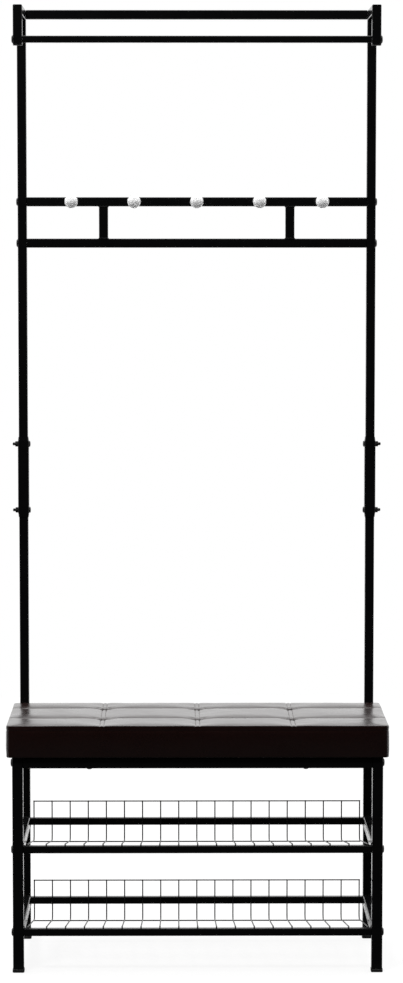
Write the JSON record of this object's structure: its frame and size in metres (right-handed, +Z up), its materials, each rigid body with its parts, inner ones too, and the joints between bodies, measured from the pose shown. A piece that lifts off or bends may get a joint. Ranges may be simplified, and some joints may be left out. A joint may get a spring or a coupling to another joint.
{
  "type": "hall tree",
  "caption": "Free-standing black steel hall tree with a tufted bench seat, wire shoe shelves, ball coat hooks and a high garment rod.",
  "frame": {"origin": "on the floor, under the middle of the bounding box", "axes": "+Z up, -Y towards the person who faces the hooks, +X to that person's right"},
  "size_m": [0.712, 0.329, 1.8],
  "materials": {
    "black_paint": "semi-gloss black powder coat",
    "black_plastic": "moulded black polyethylene",
    "black_zinc": "black zinc plated",
    "shelf_wire": "black gloss coated wire",
    "chrome": "polished",
    "clear_acrylic": "polished clear acrylic",
    "leatherette": "satin dark brown leatherette",
    "foam": "open-cell foam",
    "fibreboard": "raw fibreboard"
  },
  "bodies": {
    "root": {"front_leg_left": "black_paint", "rear_leg_left": "black_paint", "seat_side_rail_left": "black_paint", "upper_shelf_side_rail_left": "black_paint", "lower_shelf_side_rail_left": "black_paint", "lower_post_left": "black_paint", "upper_post_left": "black_paint", "post_sleeve_left": "black_paint", "bracket_arm_left": "black_paint", "bracket_drop_left": "black_paint", "hook_upright_left": "black_paint", "front_leg_right": "black_paint", "rear_leg_right": "black_paint", "seat_side_rail_right": "black_paint", "upper_shelf_side_rail_right": "black_paint", "lower_shelf_side_rail_right": "black_paint", "lower_post_right": "black_paint", "upper_post_right": "black_paint", "post_sleeve_right": "black_paint", "bracket_arm_right": "black_paint", "bracket_drop_right": "black_paint", "hook_upright_right": "black_paint", "seat_front_rail": "black_paint", "seat_rear_rail": "black_paint", "upper_shelf_front_rail": "black_paint", "upper_shelf_rear_rail": "black_paint", "lower_shelf_front_rail": "black_paint", "lower_shelf_rear_rail": "black_paint", "hook_rail_upper": "black_paint", "hook_rail_lower": "black_paint", "top_rail": "black_paint", "garment_rod": "black_paint", "front_foot_left": "black_plastic", "rear_foot_left": "black_plastic", "drop_plug_left": "black_plastic", "front_foot_right": "black_plastic", "rear_foot_right": "black_plastic", "drop_plug_right": "black_plastic", "sleeve_bolt_lower_left": "black_zinc", "sleeve_bolt_upper_left": "black_zinc", "sleeve_bolt_lower_right": "black_zinc", "sleeve_bolt_upper_right": "black_zinc", "upper_shelf_floor": "shelf_wire", "upper_shelf_guard": "shelf_wire", "lower_shelf_floor": "shelf_wire", "lower_shelf_guard": "shelf_wire", "hook_stem_1": "chrome", "hook_stem_2": "chrome", "hook_stem_3": "chrome", "hook_stem_4": "chrome", "hook_stem_5": "chrome", "hook_ball_1": "clear_acrylic", "hook_ball_2": "clear_acrylic", "hook_ball_3": "clear_acrylic", "hook_ball_4": "clear_acrylic", "hook_ball_5": "clear_acrylic", "seat_cover": "leatherette", "seat_foam": "foam", "seat_board": "fibreboard"}
  },
  "joints": []
}
